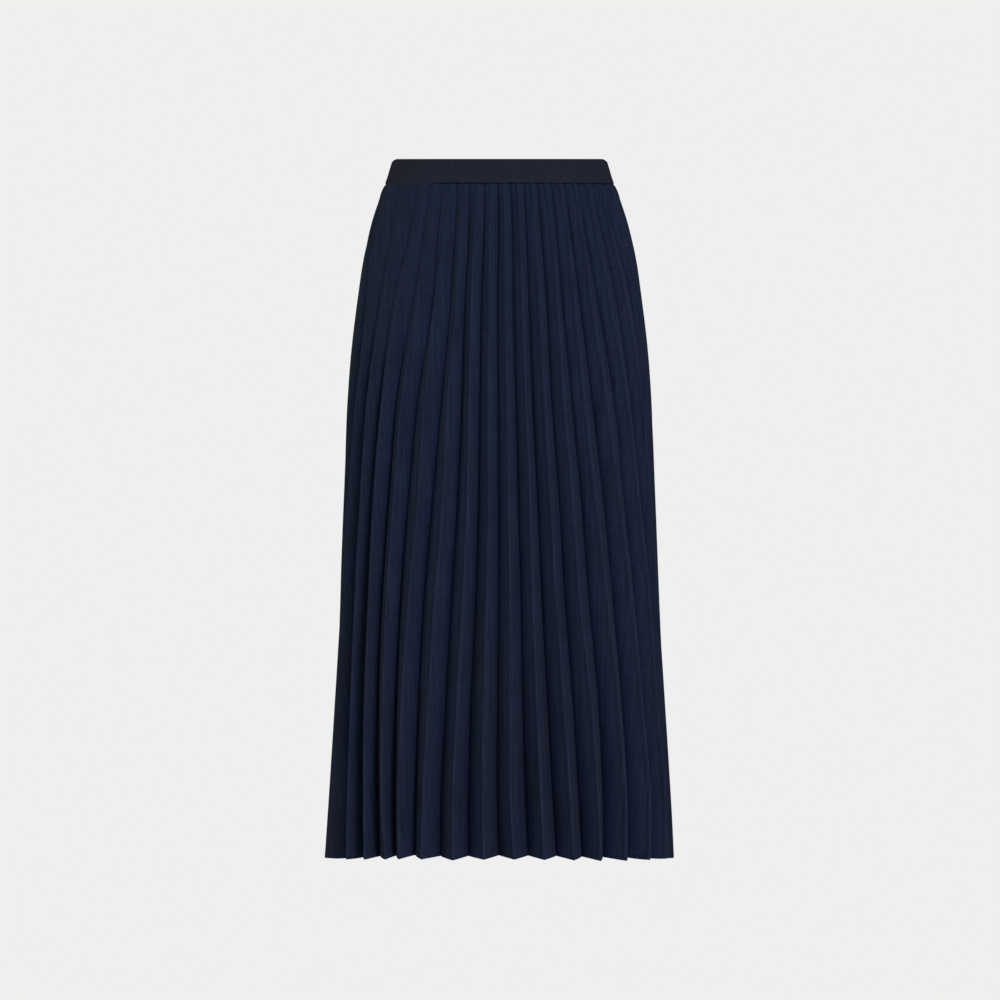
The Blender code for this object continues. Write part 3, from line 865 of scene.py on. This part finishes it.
def woven_group():
    """Threads that cross each other, with slubs: their height, and a tone round 1."""
    group, inlet, outlet = new_group(
        "woven_threads",
        (("Threads Along", 2000.0), ("Threads Across", 2000.0),
         ("Slub Size", 300.0), ("Slub Tone", 0.1)),
        ("Height", "Tone"))
    place = unfolded_place(group)
    parts = group.nodes.new("ShaderNodeSeparateXYZ")
    group.links.new(place, parts.inputs[0])
    waver = noise(group, place, scale=700.0, detail=2.0)
    waver = number(group, "MULTIPLY", waver, THREAD_WAVER)
    threads = []
    for axis, count in (("X", "Threads Along"), ("Y", "Threads Across")):
        turns = number(group, "MULTIPLY", parts.outputs[axis], inlet.outputs[count])
        turns = number(group, "MULTIPLY", turns, 2 * math.pi)
        threads.append(number(group, "SINE", number(group, "ADD", turns, waver), 0.0))
    weave = number(group, "MULTIPLY", threads[0], threads[1])
    slub = noise(group, place, scale=inlet.outputs["Slub Size"], detail=3.0)
    slub = number(group, "SUBTRACT", slub, 0.5)
    height = number(group, "ADD", number(group, "MULTIPLY", weave, WEAVE_HEIGHT), slub)
    group.links.new(height, outlet.inputs["Height"])
    tone = number(group, "ADD", number(group, "MULTIPLY", weave, WEAVE_TONE), slub)
    tone = number(group, "MULTIPLY", tone, 2.0)
    tone = number(group, "MULTIPLY", tone, inlet.outputs["Slub Tone"])
    tone = number(group, "ADD", tone, 1.0)
    group.links.new(tone, outlet.inputs["Tone"])
    return group


def streak_group():
    """Soft uneven streaks down the cloth, where it was steamed and hung: a tone round 1."""
    group, inlet, outlet = new_group(
        "hanging_streaks",
        (("Streaks Across", 420.0), ("Streaks Down", 9.0),
         ("Streak Tone", 1.0), ("Cloud Tone", 0.35)),
        ("Tone",))
    place = unfolded_place(group)
    scale = group.nodes.new("ShaderNodeCombineXYZ")
    group.links.new(inlet.outputs["Streaks Across"], scale.inputs["X"])
    group.links.new(inlet.outputs["Streaks Down"], scale.inputs["Y"])
    drawn = vector(group, "MULTIPLY", place, scale.outputs[0])
    streaks = number(group, "SUBTRACT", noise(group, drawn, scale=1.0, detail=2.0), 0.5)
    streaks = number(group, "MULTIPLY", streaks, inlet.outputs["Streak Tone"])
    clouds = number(group, "SUBTRACT", noise(group, place, scale=34.0, detail=2.0), 0.5)
    clouds = number(group, "MULTIPLY", clouds, inlet.outputs["Cloud Tone"])
    tone = number(group, "ADD", clouds, number(group, "ADD", streaks, 1.0))
    group.links.new(tone, outlet.inputs["Tone"])
    return group


def crease_group():
    """A tone with painted highlights along the ridges and painted shade beside them, and a mask of
    painted shade in the valleys.
    """
    group, inlet, outlet = new_group(
        "painted_crease_light", (("Ridge Highlight Gain", 0.28), ("Ridge Shade Loss", 0.22)), ("Tone", "Valley"))
    ridge_highlight, ridge_side_shade, valley_shade = (
        stored_number(group, name) for name in ("ridge_highlight", "ridge_side_shade", "valley_shade"))
    gain = number(group, "MULTIPLY", ridge_highlight, inlet.outputs["Ridge Highlight Gain"])
    loss = number(group, "MULTIPLY", ridge_side_shade, inlet.outputs["Ridge Shade Loss"])
    tone = number(group, "SUBTRACT", number(group, "ADD", gain, 1.0), loss)
    group.links.new(tone, outlet.inputs["Tone"])
    group.links.new(valley_shade, outlet.inputs["Valley"])
    return group


def deepened(tree, colour, mask, losses):
    """The colour less shares of its red, green and blue, by a mask."""
    lost = vector(tree, "SCALE", losses, mask)
    kept = vector(tree, "SUBTRACT", (1.0, 1.0, 1.0), lost)
    return vector(tree, "MULTIPLY", colour, kept)


def two_tones(tree, first, second, scale, down=0.0):
    """A colour that drifts between two over the piece, in clouds of the given scale, and towards
    the first one by a given share for each metre down."""
    place = tree.nodes.new("ShaderNodeTexCoord")
    mix = tree.nodes.new("ShaderNodeMix")
    mix.data_type = "RGBA"
    mix.inputs["A"].default_value = first
    mix.inputs["B"].default_value = second
    share = noise(tree, place.outputs["Object"], scale, detail=2.0)
    if down:
        parts = tree.nodes.new("ShaderNodeSeparateXYZ")
        tree.links.new(place.outputs["Object"], parts.inputs[0])
        height = number(tree, "ADD", parts.outputs["Z"], HEM_DROP / 2)
        share = number(tree, "ADD", share, number(tree, "MULTIPLY", height, down))
    tree.links.new(share, mix.inputs["Factor"])
    return mix.outputs["Result"]


def bump(tree, height, distance, strength):
    """The normal of a surface with fine relief of the given height."""
    node = tree.nodes.new("ShaderNodeBump")
    set_inputs(node, {"Distance": distance, "Strength": strength})
    tree.links.new(height, node.inputs["Height"])
    return node.outputs["Normal"]


def crepe_material(woven, streaks, creases):
    """Matte crepe: woven and hung, with painted highlights along its ridges and painted shade
    beside them and in its valleys.
    """
    material, tree, shader = new_material(
        "navy_crepe", {"Roughness": 0.85, "Specular IOR Level": 0.02, "Sheen Weight": 0.02})
    colour = two_tones(tree, CREPE_NAVY, CREPE_BLUER, scale=11.0, down=NAVY_DRIFT)
    threads = place_group(tree, woven, {
        "Threads Along": 1900.0, "Threads Across": 2300.0, "Slub Size": 250.0, "Slub Tone": 0.32})
    hung = place_group(tree, streaks, {})
    painted_light = place_group(tree, creases, {})
    tone = number(tree, "MULTIPLY", threads.outputs["Tone"], hung.outputs["Tone"])
    # Painted highlights on the ridges, and painted shade beside them
    tone = number(tree, "MULTIPLY", tone, painted_light.outputs["Tone"])
    colour = vector(tree, "SCALE", colour, tone)
    # Painted shade in the valleys and gathers
    colour = deepened(tree, colour, painted_light.outputs["Valley"], VALLEY_SHADE_LOSSES)
    tree.links.new(colour, shader.inputs["Base Color"])
    normal = bump(tree, threads.outputs["Height"], distance=0.0001, strength=0.5)
    tree.links.new(normal, shader.inputs["Normal"])
    return material


def elastic_material(woven):
    """Matte elastic, of thicker threads."""
    material, tree, shader = new_material(
        "navy_elastic", {"Roughness": 0.85, "Specular IOR Level": 0.08})
    colour = two_tones(tree, ELASTIC_NAVY, ELASTIC_PALER, scale=22.0)
    threads = place_group(tree, woven, {
        "Threads Along": 1000.0, "Threads Across": 700.0, "Slub Size": 220.0, "Slub Tone": 0.36})
    colour = vector(tree, "SCALE", colour, threads.outputs["Tone"])
    tree.links.new(colour, shader.inputs["Base Color"])
    normal = bump(tree, threads.outputs["Height"], distance=0.0002, strength=0.6)
    tree.links.new(normal, shader.inputs["Normal"])
    return material


def thread_material():
    """Sewing thread, a little paler than the cloth, with the twist of its plies."""
    material, tree, shader = new_material(
        "navy_thread", {"Roughness": 0.6, "Specular IOR Level": 0.15})
    colour = two_tones(tree, THREAD_NAVY, THREAD_PALER, scale=260.0)
    tree.links.new(colour, shader.inputs["Base Color"])
    place = tree.nodes.new("ShaderNodeTexCoord")
    plies = noise(tree, place.outputs["Object"], scale=2600.0, detail=1.0)
    tree.links.new(bump(tree, plies, distance=0.0001, strength=0.6), shader.inputs["Normal"])
    return material


# Camera: level with the middle of the skirt, and so far off that the band's top edge looks straight
LENS = 1000.0
SENSOR = 36.0
SEEN_WIDTH = 1.166          # width that it sees at the skirt
CENTRE_X = 0.0005
CENTRE_DROP = 0.3836


def place_camera():
    """A camera in front of the skirt, level with its middle."""
    camera = bpy.data.objects.new("camera", bpy.data.cameras.new("camera"))
    camera.data.lens = LENS
    camera.data.sensor_width = SENSOR
    distance = SEEN_WIDTH / 2 / (SENSOR / 2 / LENS)
    camera.location = (CENTRE_X, -distance, -CENTRE_DROP)
    camera.rotation_euler = (math.radians(90.0), 0.0, 0.0)
    camera.data.clip_start = 1.0
    camera.data.clip_end = 100.0
    bpy.context.scene.collection.objects.link(camera)
    bpy.context.scene.camera = camera


# Studio
BACKGROUND = (0.863, 0.871, 0.855, 1.0)
AMBIENT = 0.26              # light that the background gives, as a share of what it shows
FLOOR_DROP = 1.12
FLOOR_RADIUS = 6.0
FLOOR_SIDES = 96
Softbox = namedtuple("Softbox", "name place size power colour")
SOFTBOXES = (
    Softbox("key_softbox", (1.30, -2.75, 1.60), 1.1, 79.0, (1.0, 1.0, 1.0)),
    Softbox("side_softbox", (-2.2, -0.10, 1.20), 1.0, 23.0, (1.0, 0.93, 0.82)),
)


def light_studio():
    """Two softboxes that face the skirt, and a pale world that gives less light than it shows."""
    for box in SOFTBOXES:
        light = bpy.data.lights.new(box.name, "AREA")
        light.shape = "SQUARE"
        light.size = box.size
        light.energy = box.power
        light.color = box.colour
        lamp = bpy.data.objects.new(box.name, light)
        lamp.location = box.place
        towards = np.array((0.0, 0.0, -CENTRE_DROP)) - np.array(box.place)
        yaw = math.atan2(-towards[0], towards[1])
        pitch = math.atan2(towards[2], math.hypot(towards[0], towards[1]))
        lamp.rotation_euler = (math.radians(90.0) + pitch, 0.0, yaw)
        bpy.context.scene.collection.objects.link(lamp)

    world = bpy.data.worlds.new("studio")
    bpy.context.scene.world = world
    world.use_nodes = True
    nodes, links = world.node_tree.nodes, world.node_tree.links
    seen = nodes["Background"]
    seen.inputs["Color"].default_value = BACKGROUND
    felt = nodes.new("ShaderNodeBackground")
    felt.inputs["Color"].default_value = BACKGROUND
    felt.inputs["Strength"].default_value = AMBIENT
    path = nodes.new("ShaderNodeLightPath")
    choice = nodes.new("ShaderNodeMixShader")
    links.new(path.outputs["Is Camera Ray"], choice.inputs[0])
    links.new(felt.outputs[0], choice.inputs[1])
    links.new(seen.outputs[0], choice.inputs[2])
    links.new(choice.outputs[0], nodes["World Output"].inputs["Surface"])
    bpy.context.scene.view_settings.view_transform = "Standard"


def make_floor():
    """A round pale floor under the skirt."""
    around = [math.radians(360.0 * k / FLOOR_SIDES) for k in range(FLOOR_SIDES)]
    mesh = bpy.data.meshes.new("floor")
    ring = [(FLOOR_RADIUS * math.cos(a), FLOOR_RADIUS * math.sin(a), -FLOOR_DROP) for a in around]
    mesh.from_pydata(ring, [], [tuple(range(FLOOR_SIDES))])
    material, _, _ = new_material(
        "pale_floor", {"Base Color": (0.82, 0.825, 0.81, 1.0), "Roughness": 0.9})
    add_piece(mesh, material)


def main():
    """Sets up the studio, makes the pieces and hangs them on the root, hiding the CAD parts they
    replace.
    """
    place_camera()
    light_studio()
    make_floor()

    woven = woven_group()
    crepe = crepe_material(woven, streak_group(), crease_group())
    elastic = elastic_material(woven)
    front_end = 2 * FRONT_PLEATS
    back_end = front_end + 2 * BACK_PLEATS
    front, front_seam = make_panel("front_pleats", 0, front_end, crepe)
    back, back_seam = make_panel("back_pleats", front_end, back_end, crepe)
    band = make_band(elastic)
    for piece, node, slot in (
        (front, "front_panel", "cloth"),
        (back, "back_panel", "cloth"),
        (band, "waistband", "elastic"),
    ):
        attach(piece, "root")
        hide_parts(node)

    sewing = stitch_tree(thread_material())
    angles = np.linspace(0.0, 360.0, BAND_SEGMENTS, endpoint=False)
    rows = [band_ring(angles, BAND_HEIGHT / 2 - height, 0.0) for height in BAND_STITCH_ROWS]
    band_stitches = sew("band_stitches", sewing, rows, True, BAND_STITCH)
    front_stitches = sew("front_hem_stitches", sewing, [front_seam], False, HEM_STITCH)
    back_stitches = sew("back_hem_stitches", sewing, [back_seam], False, HEM_STITCH)
    for piece, slot in (
        (band_stitches, "elastic"),
        (front_stitches, "cloth"),
        (back_stitches, "cloth"),
    ):
        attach(piece, "root")


main()
